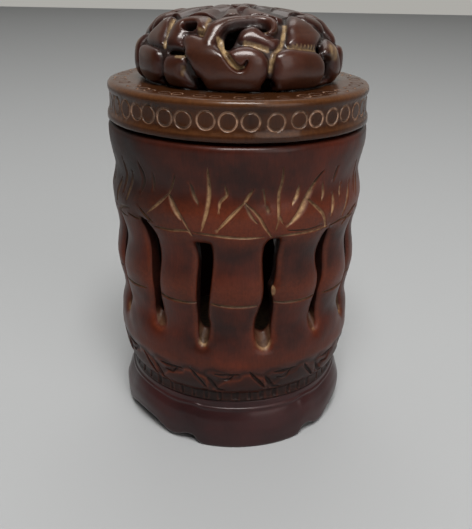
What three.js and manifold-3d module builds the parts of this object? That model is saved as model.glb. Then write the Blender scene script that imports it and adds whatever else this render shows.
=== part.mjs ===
// A lidded round pot of carved bamboo for brushes: a culm wall cut through by a ring of tall slots,
// a disc for its floor, a scalloped foot, and a lift-off lid with an openwork dome.
// Millimetres, +Z up, origin at the centre of the foot's underside, front towards -Y.
import * as THREE from 'three';
import { mergeVertices } from 'three/addons/utils/BufferGeometryUtils.js';
import Module from 'manifold-3d';

const wasm = await Module();
wasm.setup();

// Heights of the joints between the pieces, measured up from the table
const GLUE_GAP = 0.3;
const FOOT_TOP = 18.6;
const WALL_BOTTOM = FOOT_TOP + GLUE_GAP;
const WALL_TOP = 113.7;
const LID_BOTTOM = 114.4;
const LID_TOP = 127.5;
const DOME_BOTTOM = LID_TOP + GLUE_GAP;

// Radii that the neighbouring pieces share
const BORE_R = 38.8;           // inside of the wall
const FOOT_BORE_R = 36;
const LID_R = 46.2;
const LID_BORE_R = 33.2;
const FLOOR_THICKNESS = 4;

// The ring of slots in the wall
const SLOT_COUNT = 13;
const SLOT_FIRST = 14.1;       // degrees from the front, towards +X
const SLOT_WIDTH = 4;
const SLOT_TOP = 82;
const SLOT_SILL_OUTSIDE = 43;  // the sill slopes up from here
const SLOT_SILL_INSIDE = 47.7; // to here, at the bore
const SLOT_WALL_R = 44.3;      // outside of the wall beside the sills

// The foot stands on three broad feet. Its edge rises to a notch beside each foot, dips to a short
// lobe, and arches in the middle between two feet: [degrees from the middle of a foot, lift].
const FOOT_COUNT = 3;
const BROAD_FOOT_AT = 9.5;     // degrees
const FOOT_EDGE = [[22, 0], [30.5, 3.7], [40, 1.7], [52, 4.6], [60, 5.3]];

// The lid's spigot, which centres it in the mouth
const SPIGOT_R = 38.3;
const SPIGOT_WALL = 3.3;
const SPIGOT_DEPTH = 7.5;

// The dome
const DOME_TOP = 151.8;
const DOME_WALL = 3.6;
const DOME_LOBES = 9;
const LOBE_SWELL = 0.7;
const CROWN_R = 5;             // the middle of the top stays round
// Its openings, in rings: how many, how high and how far out they start, and how far up they point
const DOME_HOLES = [
  { count: DOME_LOBES, height: 129.6, reach: 34, first: 0, radius: 1.7, tip: 0 },
  { count: 5, height: 144, reach: 28.2, first: -8, radius: 3.4, tip: 42 },
  { count: 6, height: 149, reach: 17.8, first: 22, radius: 2.2, tip: 62 },
];
const HOLE_LENGTH = 16;

const SEGMENTS = 64;
const DEGREE = Math.PI / 180;
const front = new THREE.Vector3(0, -1, 0);
const up = new THREE.Vector3(0, 0, 1);

function finish(color, roughness) {
  return new THREE.MeshStandardMaterial({ color, roughness, metalness: 0 });
}

const stainedBamboo = finish(0x4a1c12, 0.35);
const polishedBamboo = finish(0x4f2015, 0.25);
const rimBamboo = finish(0x6b3a26, 0.4);
const footWood = finish(0x3a120e, 0.4);
const rawBamboo = finish(0x8a6440, 0.7);

// A solid of revolution about +Z, from a closed loop of [radius, height] corners
function turned(corners, segments = SEGMENTS) {
  const loop = corners.map(([r, z]) => new THREE.Vector2(r, z));
  if (THREE.ShapeUtils.area(loop) < 0) loop.reverse();
  loop.push(loop[0].clone());
  const geometry = new THREE.LatheGeometry(loop, segments);
  geometry.rotateX(Math.PI / 2);
  return closed(geometry);
}

function closed(geometry) {
  geometry.deleteAttribute('normal');
  geometry.deleteAttribute('uv');
  return mergeVertices(geometry, 1e-4);
}

// A smooth outline through a few [radius, height] corners
function swept(corners, steps) {
  const curve = new THREE.SplineCurve(corners.map(([r, z]) => new THREE.Vector2(r, z)));
  return curve.getPoints(steps).map((point) => [point.x, point.y]);
}

function solid(geometry) {
  const merged = closed(geometry);
  return new wasm.Manifold(new wasm.Mesh({
    numProp: 3,
    vertProperties: Float32Array.from(merged.attributes.position.array),
    triVerts: Uint32Array.from(merged.index.array),
  }));
}

function geometryOf(manifold) {
  const { vertProperties, triVerts } = manifold.getMesh();
  const geometry = new THREE.BufferGeometry();
  geometry.setAttribute('position', new THREE.BufferAttribute(vertProperties, 3));
  geometry.setIndex(new THREE.BufferAttribute(triVerts, 1));
  return geometry;
}

function cut(geometry, cutters) {
  return geometryOf(cutters.reduce((left, cutter) => left.subtract(solid(cutter)), solid(geometry)));
}

// Moves every corner by a rule of its place; a positive angle turns from the front towards +X
function shaped(geometry, rule) {
  const position = geometry.attributes.position;
  const point = new THREE.Vector3();
  for (let i = 0; i < position.count; i += 1) {
    point.fromBufferAttribute(position, i);
    rule(point, Math.atan2(point.x, -point.y) / DEGREE);
    position.setXYZ(i, point.x, point.y, point.z);
  }
  return geometry;
}

function outwards(degrees) {
  return front.clone().applyAxisAngle(up, degrees * DEGREE);
}

// The signed angle from one direction to another, between -180 and 180 degrees
function turnBetween(from, to) {
  return THREE.MathUtils.euclideanModulo(to - from + 180, 360) - 180;
}

function potWall() {
  const outside = swept([
    [41, WALL_BOTTOM], [41.3, 21.2], [43.1, 26], [44.5, 33], [44.4, 42], [43.4, 49.5],
    [44.5, 57], [45.3, 63.5], [44.6, 71], [44, 75.6], [44.8, 82], [45.9, 90], [44.5, 98.8],
    [45.6, 105], [46.1, 109.5], [45.8, WALL_TOP],
  ], 24);
  const wall = turned([[BORE_R, WALL_TOP], [BORE_R, WALL_BOTTOM], ...outside], SLOT_COUNT * 5);
  const cutters = [];
  for (let i = 0; i < SLOT_COUNT; i += 1) cutters.push(slot(SLOT_FIRST + (i * 360) / SLOT_COUNT));
  return cut(wall, cutters);
}

// The block that opens one slot: its side view, stretched to the slot's width
function slot(degrees) {
  const outer = LID_R + 4;
  const inner = BORE_R - 4;
  const fall = (SLOT_SILL_INSIDE - SLOT_SILL_OUTSIDE) / (SLOT_WALL_R - BORE_R);
  const sill = (r) => SLOT_SILL_INSIDE - fall * (r - BORE_R);
  const side = new THREE.Shape([
    new THREE.Vector2(inner, sill(inner)), new THREE.Vector2(outer, sill(outer)),
    new THREE.Vector2(outer, SLOT_TOP), new THREE.Vector2(inner, SLOT_TOP),
  ]);
  const block = new THREE.ExtrudeGeometry(side, { depth: SLOT_WIDTH, bevelEnabled: false });
  block.translate(0, 0, -SLOT_WIDTH / 2);
  block.rotateX(Math.PI / 2);
  return block.rotateZ((degrees - 90) * DEGREE);
}

function floorDisc() {
  const disc = new THREE.CylinderGeometry(BORE_R - 0.5, BORE_R - 0.5, FLOOR_THICKNESS, 48);
  disc.rotateX(Math.PI / 2);
  return disc.translate(0, 0, WALL_BOTTOM + FLOOR_THICKNESS / 2);
}

// How far the foot's lower edge stands off the table at an angle
function footLift(degrees) {
  const fromFoot = Math.abs(turnBetween(nearestFoot(degrees), degrees));
  const next = FOOT_EDGE.findIndex(([at]) => at >= fromFoot);
  if (next <= 0) return 0;
  const [fromAt, fromLift] = FOOT_EDGE[next - 1];
  const [toAt, toLift] = FOOT_EDGE[next];
  return THREE.MathUtils.lerp(fromLift, toLift, THREE.MathUtils.smoothstep(fromFoot, fromAt, toAt));
}

function nearestFoot(degrees) {
  const pitch = 360 / FOOT_COUNT;
  return BROAD_FOOT_AT + pitch * Math.round((degrees - BROAD_FOOT_AT) / pitch);
}

function footRing() {
  const flare = swept([[44.2, 4], [44.1, 7.2], [43, 11.2], [41.8, 14.4]], 5);
  const bead = [[41.8, 15.3], [41.3, 15.8], [41.1, FOOT_TOP]];
  const ring = turned([
    [FOOT_BORE_R + 1, 0], [44.1, 0], ...flare, ...bead, [FOOT_BORE_R, FOOT_TOP],
  ], FOOT_COUNT * 28);
  return shaped(ring, (point, degrees) => {
    point.z += footLift(degrees) * (1 - point.z / FOOT_TOP);
  });
}

function lidRing() {
  return turned([
    [LID_BORE_R, LID_BOTTOM], [45.9, LID_BOTTOM], [LID_R, 115], [46, 117.4], [45.2, 117.8],
    [45.2, 124.1], [45.7, 124.5], [45.4, 126.4], [44.4, LID_TOP], [LID_BORE_R, LID_TOP],
  ]);
}

function lidSpigot() {
  const top = LID_BOTTOM - GLUE_GAP;
  const bottom = top - SPIGOT_DEPTH;
  const inner = SPIGOT_R - SPIGOT_WALL;
  return turned([
    [inner, bottom], [SPIGOT_R - 0.6, bottom], [SPIGOT_R, bottom + 0.8], [SPIGOT_R, top], [inner, top],
  ]);
}

// The dome is a thick carved shell: lobes round its side, and openings between its curls
function lidDome() {
  const outside = swept([
    [35.6, DOME_BOTTOM], [36.1, 131.9], [36, 135.8], [35, 139.7], [32.4, 142.2], [30, 144.7],
    [28, 147.2], [24, 149.2], [14.5, 150.8], [0, DOME_TOP],
  ], 12);
  const inside = swept([
    [0, DOME_TOP - DOME_WALL], [12, 147.2], [20, 145.8], [24.8, 143.4], [28.6, 139.6],
    [31.8, 135.4], [32, DOME_BOTTOM],
  ], 6);
  const shell = shaped(turned([...outside, ...inside], DOME_LOBES * 6), (point, degrees) => {
    const r = Math.hypot(point.x, point.y);
    if (r < CROWN_R) return;
    const swell = LOBE_SWELL * Math.cos(degrees * DEGREE * DOME_LOBES) - LOBE_SWELL;
    point.x *= 1 + swell / r;
    point.y *= 1 + swell / r;
  });
  return cut(shell, DOME_HOLES.flatMap(holes));
}

// One ring of round openings, evenly spaced, each drilled away from the axis and tipped up
function holes({ count, height, reach, first, radius, tip }) {
  const bores = [];
  for (let i = 0; i < count; i += 1) {
    const out = outwards(first + (i * 360) / count);
    const axis = out.clone().multiplyScalar(Math.cos(tip * DEGREE)).setZ(Math.sin(tip * DEGREE));
    const bore = new THREE.CylinderGeometry(radius, radius, HOLE_LENGTH, 8);
    bore.applyQuaternion(new THREE.Quaternion().setFromUnitVectors(new THREE.Vector3(0, 1, 0), axis));
    bores.push(bore.translate(...out.multiplyScalar(reach).setZ(height)));
  }
  return bores;
}

function piece(name, geometry, material) {
  const mesh = new THREE.Mesh(geometry, material);
  mesh.name = name;
  return mesh;
}

const pot = new THREE.Group();
pot.add(piece('foot_ring', footRing(), footWood));
pot.add(piece('floor_disc', floorDisc(), rawBamboo));
pot.add(piece('pot_wall', potWall(), stainedBamboo));

const lid = new THREE.Group();
lid.add(piece('lid_ring', lidRing(), rimBamboo));
lid.add(piece('lid_spigot', lidSpigot(), rawBamboo));
lid.add(piece('lid_dome', lidDome(), polishedBamboo));

const brushPot = new THREE.Group();
brushPot.add(pot, lid);
export default brushPot;
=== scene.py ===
"""The looks of a lidded round pot for brushes, carved from one length of bamboo culm and stained red-brown.

Every size is in millimetres until a mesh is made. A place on the round is an angle in degrees, 0 at the
front and growing towards +X, with a height. The skins of the wall and of the lid's ring are triangulated
flat, with the points crowded where the gouge went, and then rolled up. The foot, the spigot and the floor
are turned by a Geometry Nodes tree, and the dome is a solid field that is meshed at its surface.
"""
import math

import bmesh
import bpy
import numpy as np
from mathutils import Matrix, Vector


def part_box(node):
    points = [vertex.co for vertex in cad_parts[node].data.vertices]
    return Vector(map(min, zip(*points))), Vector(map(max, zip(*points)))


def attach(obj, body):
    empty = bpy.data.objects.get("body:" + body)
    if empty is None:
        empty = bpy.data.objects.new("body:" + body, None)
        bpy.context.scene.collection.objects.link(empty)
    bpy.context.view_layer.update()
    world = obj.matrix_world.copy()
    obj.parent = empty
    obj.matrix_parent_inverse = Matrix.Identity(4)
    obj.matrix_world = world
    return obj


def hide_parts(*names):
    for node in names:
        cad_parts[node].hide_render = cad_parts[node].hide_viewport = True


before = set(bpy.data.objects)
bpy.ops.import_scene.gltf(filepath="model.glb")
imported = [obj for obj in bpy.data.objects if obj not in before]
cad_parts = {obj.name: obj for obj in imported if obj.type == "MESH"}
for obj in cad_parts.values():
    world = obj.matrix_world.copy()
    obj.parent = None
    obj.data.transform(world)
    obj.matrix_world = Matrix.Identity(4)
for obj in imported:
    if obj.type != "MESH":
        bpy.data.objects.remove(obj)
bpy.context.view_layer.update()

import openvdb
from mathutils import Matrix, Vector
from mathutils.geometry import delaunay_2d_cdt

MM = 0.001
CHART_R = 45.0                       # the radius at which the unrolled skins are measured
TURN = 2 * math.pi * CHART_R
PER_DEGREE = TURN / 360
SEAM = 194.1 * PER_DEGREE - TURN     # the unrolled skins are joined on the middle of a stalk at the back
BATCH = 4000                         # how many points are compared with a line at a time


def heights_of(node):
    """Where a node of the CAD model starts and ends above the table."""
    low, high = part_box(node)
    return low.z / MM, high.z / MM


FOOT_TOP = heights_of("foot_ring")[1]
WALL_BOTTOM, WALL_TOP = heights_of("pot_wall")
BORE_R = 38.8                        # the pot's bore
LID_BOTTOM, LID_TOP = heights_of("lid_ring")
LID_BORE_R = 33.2                    # the hole in the lid's ring
DOME_BOTTOM = heights_of("lid_dome")[0]


# ---------------------------------------------------------------- curves and hand-made unevenness

def curve_through(points, per_span=8, closed=False):
    """A smooth curve through a few points."""
    p = np.asarray(points, float)
    if closed:
        padded = np.vstack([p[-1:], p, p[:2]])
    else:
        padded = np.vstack([2 * p[:1] - p[1:2], p, 2 * p[-1:] - p[-2:-1]])
    t = np.linspace(0, 1, per_span, endpoint=False)[:, None]
    spans = [
        0.5 * (2 * b + (c - a) * t + (2 * a - 5 * b + 4 * c - d) * t**2 + (3 * b - a - 3 * c + d) * t**3)
        for a, b, c, d in zip(padded, padded[1:], padded[2:], padded[3:])
    ]
    line = np.vstack(spans)
    return line if closed else np.vstack([line, p[-1:]])


def lengths_along(line):
    return np.concatenate([[0], np.cumsum(np.linalg.norm(np.diff(line, axis=0), axis=1))])


def evenly(line, step, closed=False):
    """The same line with its points one step apart."""
    if closed:
        line = np.vstack([line, line[:1]])
    length = lengths_along(line)
    count = max(2, round(length[-1] / step) + 1)
    at = np.linspace(0, length[-1], count)
    out = np.column_stack([np.interp(at, length, line[:, k]) for k in range(line.shape[1])])
    return out[:-1] if closed else out


def ripple(points, size, seed):
    """Smooth unevenness between about -1 and 1, with waves of about that size, the same on every run."""
    rng = np.random.default_rng(seed)
    points = np.asarray(points, float)
    total = np.zeros(len(points))
    for _ in range(7):
        wave = rng.normal(size=points.shape[1])
        wave *= 2 * math.pi / (size * rng.uniform(0.7, 1.5) * np.linalg.norm(wave))
        total += np.sin(points @ wave + rng.uniform(0, 2 * math.pi))
    return total / 3.5


def ease(x):
    x = np.clip(x, 0, 1)
    return x * x * (3 - 2 * x)


def beside(line, offsets, closed=False):
    """Copies of a line moved sideways by each offset, which may change along the line."""
    if closed:
        tangent = np.roll(line, -1, 0) - np.roll(line, 1, 0)
    else:
        tangent = np.gradient(line, axis=0)
    tangent /= np.linalg.norm(tangent, axis=1)[:, None]
    across = np.column_stack([-tangent[:, 1], tangent[:, 0]])
    return np.vstack([line + across * np.reshape(offset, (-1, 1)) for offset in offsets])


def to_segments(points, starts, steps):
    """For each point and each segment: the distance between them, and how far along the segment that is."""
    p = points[:, None, :]
    along = np.clip(((p - starts) * steps).sum(2) / (steps**2).sum(1), 0, 1)
    return np.linalg.norm(p - (starts + along[..., None] * steps), axis=2), along


def inside_distance(points, outline):
    """Distance in from a closed outline, negative outside it."""
    a, b = outline, np.roll(outline, -1, 0)
    d = b - a
    rise = np.where(d[:, 1] == 0, 1e-12, d[:, 1])
    result = np.empty(len(points))
    for start in range(0, len(points), BATCH):
        batch = points[start:start + BATCH]
        away = to_segments(batch, a, d)[0].min(1)
        x, y = batch[:, :1], batch[:, 1:]
        above = (a[:, 1] > y) != (b[:, 1] > y)
        crossing = above & (x < a[:, 0] + d[:, 0] * (y - a[:, 1]) / rise)
        result[start:start + BATCH] = np.where(crossing.sum(1) % 2 == 1, away, -away)
    return result


def raise_to(table, where, values):
    """Lifts a part of a table to at least those values."""
    table[where] = np.maximum(table[where], values)


def on_round(degrees, height, radius):
    angle = np.radians(degrees)
    height = np.broadcast_to(height, angle.shape)
    return np.column_stack([radius * np.sin(angle), -radius * np.cos(angle), height])


# ---------------------------------------------------------------- carving on an unrolled skin

def unwrap(u, middle):
    """Chart distance round the turning, measured from a middle so that nothing breaks at the seam."""
    return (u - middle + TURN / 2) % TURN - TURN / 2


def from_seam(u):
    """The same place on the chart, counted on from the seam."""
    return (u - SEAM) % TURN + SEAM


def rows_near(chart, line, middle, reach):
    """(rows of the chart near a line, their places with the distance round measured from that middle)"""
    places = np.column_stack([unwrap(chart[:, 0], middle), chart[:, 1]])
    low, high = line.min(0) - reach, line.max(0) + reach
    rows = np.flatnonzero(((places > low) & (places < high)).all(1))
    return rows, places[rows]


class Cut:
    """One pass of the gouge along a line: a V that is deepest in the middle of its length."""

    STEP = 0.45                                      # between the points along it
    LINES = (0, -0.5, 0.5, -1, 1, -1.45, 1.45)       # lines of points that follow it, in half widths
    REACH = 1.7                                      # how far its effect goes, in half widths

    def __init__(self, points, width, depth, bare=0.0, blunt=0.35, fade=0.0):
        """Blunt is how wide its ends are, as a share of its width, and fade how much less bare its start."""
        line = curve_through(np.asarray(points, float) * [PER_DEGREE, 1], 5)
        self.line = evenly(line, self.STEP)
        self.middle = self.line[:, 0].mean()
        share = np.linspace(0, 1, len(self.line))
        swell = np.clip(np.sin(math.pi * share), 0, 1) ** 0.5
        self.half = width / 2 * (blunt + (1 - blunt) * swell)
        self.depth = depth
        self.bare = bare * (1 - fade + fade * ease(share * 1.7))

    def points(self):
        return beside(self.line, [self.half * k for k in self.LINES])

    def nearest(self, chart):
        """(rows near the cut, their distance from its middle line in half widths, the half width there, the
        bareness there)"""
        line = self.line - [self.middle, 0]
        rows, places = rows_near(chart, line, self.middle, self.half.max() * self.REACH)
        away, along = to_segments(places, line[:-1], np.diff(line, axis=0))
        half = self.half[:-1] + along * np.diff(self.half)
        share = away / half
        best = np.argmin(share, axis=1)
        pick = np.arange(len(rows))
        return rows, share[pick, best], half[pick, best], self.bare[best]


class Pad:
    """A raised patch with a rounded edge: a closed outline that stands proud of the ground."""

    STEP = 0.5                                       # between the points along its outline
    LINES = (-0.9, -0.3, 0.3, 0.9)                   # lines of points that follow it, in widths of its edge
    REACH = 2.0                                      # how far outside its effect goes

    def __init__(self, points, rise, edge, worn):
        outline = curve_through(np.asarray(points, float) * [PER_DEGREE, 1], 6, closed=True)
        self.line = evenly(outline, self.STEP, closed=True)
        self.middle = self.line[:, 0].mean()
        self.rise, self.edge, self.worn = rise, edge, worn

    def points(self):
        return beside(self.line, [self.edge * k for k in self.LINES], closed=True)

    def inside(self, chart):
        """(rows near the pad, distance in from its outline, negative outside)"""
        line = self.line - [self.middle, 0]
        rows, places = rows_near(chart, line, self.middle, self.REACH)
        return rows, inside_distance(places, line)


def cell_keys(points, gap, shift=(0, 0)):
    """A number for the cell of that size in which each point lies, or for a cell beside it."""
    whole = np.floor(points / gap).astype(np.int64) + shift
    return whole[:, 0] * 1_000_003 + whole[:, 1]


def thinned(points, gap):
    """One point for each cell of that size."""
    _, first = np.unique(cell_keys(points, gap), return_index=True)
    return points[np.sort(first)]


def next_to(points, taken, gap):
    """Whether each point lies in or next to a cell of that size that holds a taken point."""
    ring = [cell_keys(taken, gap, (i, j)) for i in (-1, 0, 1) for j in (-1, 0, 1)]
    return np.isin(cell_keys(points, gap), np.unique(np.concatenate(ring)))


def clear_of(points, taken, gap):
    """The points that keep at least that gap to the points already taken."""
    return points[~next_to(points, taken, gap)]


def lattice(low, high, step):
    """Points on a triangular lattice round the whole turning, between two heights of the chart."""
    rows = np.arange(low + 0.5 * step, high - 0.4 * step, step * 0.866)
    u = np.arange(SEAM + 0.5 * step, SEAM + TURN - 0.4 * step, step)
    grid = np.stack(np.meshgrid(u, rows), -1)
    grid[1::2, :, 0] += step / 2
    flat = grid.reshape(-1, 2)
    return flat[flat[:, 0] < SEAM + TURN - 0.35 * step]


def chain(ids, closed=False):
    """The edges that join points in a row."""
    ids = list(ids)
    return list(zip(ids, ids[1:])) + ([(ids[-1], ids[0])] if closed else [])


class Skin:
    """A triangulated chart whose left and right edges are one seam. It has a hole for each loop, points
    where the features ask for them, and a lattice as fine as each band asks, as (step, where)."""

    RIM_COUNT = 360                      # points round its lower and upper rim
    SEAM_STEP = 0.8                      # between the points of the seam
    FEATURE_GAP = 0.16                   # between the points of a feature
    RIM_GAP, SEAM_GAP = 0.15, 0.25       # what a feature's points keep clear of the rims and of the seam

    def __init__(self, low, high, loops, features, bands):
        count = self.RIM_COUNT
        rim = np.linspace(SEAM, SEAM + TURN, count + 1)
        side = np.linspace(low, high, max(3, round((high - low) / self.SEAM_STEP)))[1:-1]
        fixed = [
            np.column_stack([rim, np.full(count + 1, low)]),
            np.column_stack([rim, np.full(count + 1, high)]),
            np.column_stack([np.full(len(side), SEAM), side]),
            np.column_stack([np.full(len(side), SEAM + TURN), side]),
            *loops,
        ]
        starts = np.cumsum([0] + [len(part) for part in fixed])
        spans = [range(a, b) for a, b in zip(starts, starts[1:])]
        lower, upper, left, right, *holes = spans
        taken = self.spread(np.vstack(fixed), low, high, features, bands)
        edges = chain(lower) + chain(upper)
        edges += chain([lower[0], *left, upper[0]]) + chain([lower[-1], *right, upper[-1]])
        for hole in holes:
            edges += chain(hole, closed=True)
        flat, _, faces, origin, _, _ = delaunay_2d_cdt(
            [Vector(p) for p in taken.tolist()], [(int(a), int(b)) for a, b in edges], [], 0, 1e-6
        )
        new_of = np.zeros(len(taken), int)
        for new, olds in enumerate(origin):
            new_of[list(olds)] = new
        merge = np.arange(len(flat))
        for a, b in [(lower[0], lower[-1]), (upper[0], upper[-1]), *zip(left, right)]:
            merge[new_of[b]] = new_of[a]
        self.uv = np.array([p[:] for p in flat])
        tris = np.array(faces)
        self.tris = merge[tris[~self.in_a_hole(self.uv[tris].mean(1), loops)]]
        self.low_rim, self.high_rim = merge[new_of[lower[:-1]]], merge[new_of[upper[:-1]]]
        self.loops = [merge[new_of[hole]] for hole in holes]

    def spread(self, fixed, low, high, features, bands):
        """The fixed points with the features' points and the bands' lattices between them."""
        taken = fixed
        for cloud in features:
            cloud = np.column_stack([from_seam(cloud[:, 0]), cloud[:, 1]])
            keep = (cloud[:, 1] > low + self.RIM_GAP) & (cloud[:, 1] < high - self.RIM_GAP)
            keep &= (cloud[:, 0] > SEAM + self.SEAM_GAP) & (cloud[:, 0] < SEAM + TURN - self.SEAM_GAP)
            cloud = thinned(cloud[keep], self.FEATURE_GAP)
            taken = np.vstack([taken, clear_of(cloud, fixed, self.FEATURE_GAP)])
        for step, where in bands:
            cloud = lattice(low, high, step)
            if where is not None:
                cloud = cloud[where(cloud)]
            taken = np.vstack([taken, clear_of(cloud, taken, step * 0.45)])
        return taken

    @staticmethod
    def in_a_hole(centres, loops):
        """Which triangles have their centre inside a loop."""
        result = np.zeros(len(centres), bool)
        for loop in loops:
            rows = np.flatnonzero(((centres > loop.min(0)) & (centres < loop.max(0))).all(1))
            result[rows[inside_distance(centres[rows], loop) > 0]] = True
        return result


def rolled_up(chart, radius):
    """The points of a chart on a turning of that radius."""
    return on_round(chart[:, 0] / PER_DEGREE, chart[:, 1], radius)


class Relief:
    """What the carving does to a skin: how far each point is moved out, how bare or rubbed it is, and where
    highlights and shade are painted on it.
    """

    def __init__(self, chart):
        self.out = np.zeros(len(chart))
        self.bare = np.zeros(len(chart))
        self.worn = np.zeros(len(chart))
        self.grime = np.zeros(len(chart))
        self.chart = chart

    def pads(self, pads):
        for pad in pads:
            rows, inside = pad.inside(self.chart)
            lift = ease((inside / pad.edge + 1) / 2)
            raise_to(self.out, rows, pad.rise * lift)
            # Lighter along the top of each pad's edge: wear, with a painted highlight
            edge = np.exp(-((inside - 0.4) / 0.5) ** 2)
            raise_to(self.worn, rows, pad.worn * edge)
            # Darker in the crease round each pad's foot: painted shade, with dirt
            foot = np.exp(-((inside + 0.9) / 0.8) ** 2)
            raise_to(self.grime, rows, 0.8 * foot)

    def cuts(self, cuts):
        cut_by = np.zeros(len(self.out))
        for cut in cuts:
            rows, share, half, bare = cut.nearest(self.chart)
            vee = np.clip(1 - share, 0, 1)
            depth = cut.depth * np.minimum(1, half / max(cut.half.max(), 1e-6)) ** 0.5
            cut_by[rows] = np.maximum(cut_by[rows], depth * vee**0.85)
            lip = 0.05 * np.exp(-((share - 1.15) / 0.25) ** 2)
            cut_by[rows] = np.where(cut_by[rows] > 0.02, cut_by[rows], -lip)
            raise_to(self.bare, rows, bare * ease((vee - 0.12) * 2.4))
            raise_to(self.worn, rows, 0.35 * np.exp(-((share - 1.1) / 0.3) ** 2))
            raise_to(self.grime, rows, (1 - bare) * ease(vee * 2.2))
        self.out -= cut_by


# ---------------------------------------------------------------- meshes

# What a point's finish can be: bare of stain; rubbed by hands, with painted highlights; or dark with dirt
# and thick stain, and with painted shade
TINTS = ("bare", "worn", "grime")


class Shell:
    """Collects points, faces and the finish of each point, and makes one closed mesh of them."""

    def __init__(self, name):
        self.name, self.points, self.faces = name, [], []
        self.tints = {label: [] for label in TINTS}
        self.count = 0

    def add(self, points, **tints):
        start = self.count
        self.points.append(points)
        for label in TINTS:
            self.tints[label].append(np.broadcast_to(tints.get(label, 0.0), len(points)))
        self.count += len(points)
        return start

    def skin(self, skin, points, flip=False, **tints):
        start = self.add(points, **tints)
        tris = skin.tris[:, ::-1] if flip else skin.tris
        self.faces += (tris + start).tolist()
        return start

    def bridge(self, first, second):
        """Quads between two closed rings of the same length."""
        a, b = np.asarray(first), np.asarray(second)
        self.faces += np.column_stack([a, np.roll(a, -1), np.roll(b, -1), b]).tolist()

    def rings(self, first, between, last, tints=()):
        """Bridges two rings through rows of new points, each with its own tints."""
        previous = first
        for row, points in enumerate(between):
            start = self.add(points, **(tints[row] if tints else {}))
            ring = np.arange(start, start + len(points))
            self.bridge(previous, ring)
            previous = ring
        self.bridge(previous, last)

    def mesh_object(self, material):
        mesh = bpy.data.meshes.new(self.name)
        mesh.from_pydata((np.vstack(self.points) * MM).tolist(), [], self.faces)
        for label, values in self.tints.items():
            tint(mesh, label, np.concatenate(values))
        return placed(mesh, material)


def tint(mesh, label, values):
    layer = mesh.attributes.new(label, "FLOAT", "POINT")
    layer.data.foreach_set("value", np.asarray(values, np.float32))


def in_scene(name, data):
    obj = bpy.data.objects.new(name, data)
    bpy.context.scene.collection.objects.link(obj)
    return obj


def placed(mesh, material):
    drop_loose_points(mesh)
    mesh.validate()
    mesh.shade_smooth()
    mesh.materials.append(material)
    return in_scene(mesh.name, mesh)


def drop_loose_points(mesh):
    sheet = bmesh.new()
    sheet.from_mesh(mesh)
    bmesh.ops.delete(sheet, geom=[v for v in sheet.verts if not v.link_faces], context="VERTS")
    bmesh.ops.recalc_face_normals(sheet, faces=sheet.faces)
    sheet.to_mesh(mesh)
    sheet.free()


# ---------------------------------------------------------------- the wall

SLOT_COUNT = 13
SLOT_FIRST = 14.1
SLOT_PITCH = 360 / SLOT_COUNT
WALL_OUTLINE = curve_through([
    (41.3, WALL_BOTTOM), (41.0, 19.8), (41.0, 21.8), (41.5, 23.0), (42.3, 24.6), (43.0, 26.6), (43.4, 29),
    (43.8, 31.4), (44.4, 33.2), (44.9, 35.4), (44.7, 39), (44.3, 44), (43.6, 47.5), (43.4, 50), (43.9, 54),
    (44.6, 57.6), (45.3, 62.7), (45.2, 66), (44.7, 69.5), (44.2, 72.6), (44.0, 75.6), (44.4, 79),
    (45.1, 82.2), (45.6, 86), (45.9, 90), (45.4, 93.2), (44.8, 96), (44.5, 98.8), (44.9, 101.8),
    (45.5, 104.8), (46.0, 108), (46.1, 110.5), (46.0, 112.4), (45.7, 113.2), (45.1, WALL_TOP),
], 6)
SLOTS_FROM, SLOTS_TO = 38.0, 86.0    # where the slotted part of the wall starts and ends
NODE_HEIGHT = 59.4                   # the bamboo's node rings, cut across the stalks
ROCKS_TOP = 34.0
NOTCH_TOP = 22.6                     # the notches cut in the wall's foot
SLOT_EDGE_REACH = 9.0                # how far from a slot its edge still tells

# How high each slot was sawn is about the same; its sides wander: (height, half width)
SLOT_SECTION = [
    (42.3, 0.25), (43.2, 1.35), (45.5, 2.1), (50, 2.45), (54, 2.4), (58, 2.05), (62, 1.8), (67, 2.15),
    (73, 2.5), (77, 2.35), (80.2, 1.75), (81.6, 1.0), (82.3, 0.3),
]
# Slots sawn a little to one side of their places, in mm
SLOT_ASIDE = {5: -2.0, 8: -3.0}
# The front slots' own edges: (height, left edge, right edge)
FRONT_SLOTS = {
    1: [(44.4, -0.2, 0.9), (45.6, -1.1, 1.7), (47.6, -1.7, 2.1), (51, -1.9, 1.8), (54.8, -1.8, 1.3),
        (58, -1.4, 0.9), (60.4, -1.0, 0.9), (63, -0.6, 1.5), (66.5, -0.4, 2.3), (71, -1.2, 2.7),
        (76.2, -0.5, 3.2), (80, 0.8, 3.8), (82.4, 2.2, 3.4)],
    11: [(45.4, 1.6, 3.4), (46.8, 0.0, 4.7), (50.6, -1.0, 3.9), (55, -0.4, 3.7), (60, 0.2, 3.7),
         (65, -0.1, 3.9), (70.7, -0.8, 4.1), (76, -1.8, 3.6), (80.6, -2.8, 2.9), (84, -3.8, 1.0),
         (85.8, -3.5, -1.2)],
    0: [(41.8, -0.2, 1.0), (43, -1.9, 2.1), (45.5, -2.9, 2.9), (49, -3.2, 3.1), (53, -3.0, 3.1),
        (57, -2.1, 3.1), (60.5, -1.2, 2.8), (64.5, -0.9, 1.9), (67, -0.9, 2.9), (71, -1.1, 3.6),
        (76, -1.3, 3.9), (80, -1.0, 4.4), (82, -0.2, 4.4), (83.1, 1.2, 3.6)],
    12: [(42.9, -0.9, 0.2), (44, -1.7, 0.8), (46.5, -2.3, 1.5), (50, -2.6, 1.7), (54, -2.6, 1.2),
         (58, -2.7, 1.5), (62, -2.7, 2.0), (67.5, -2.5, 2.6), (74, -2.2, 2.9), (78, -2.7, 2.8),
         (80.2, -3.3, 2.4), (81, -2.2, 1.4)],
}


def wall_radius(height):
    return np.interp(height, WALL_OUTLINE[:, 1], WALL_OUTLINE[:, 0])


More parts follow.
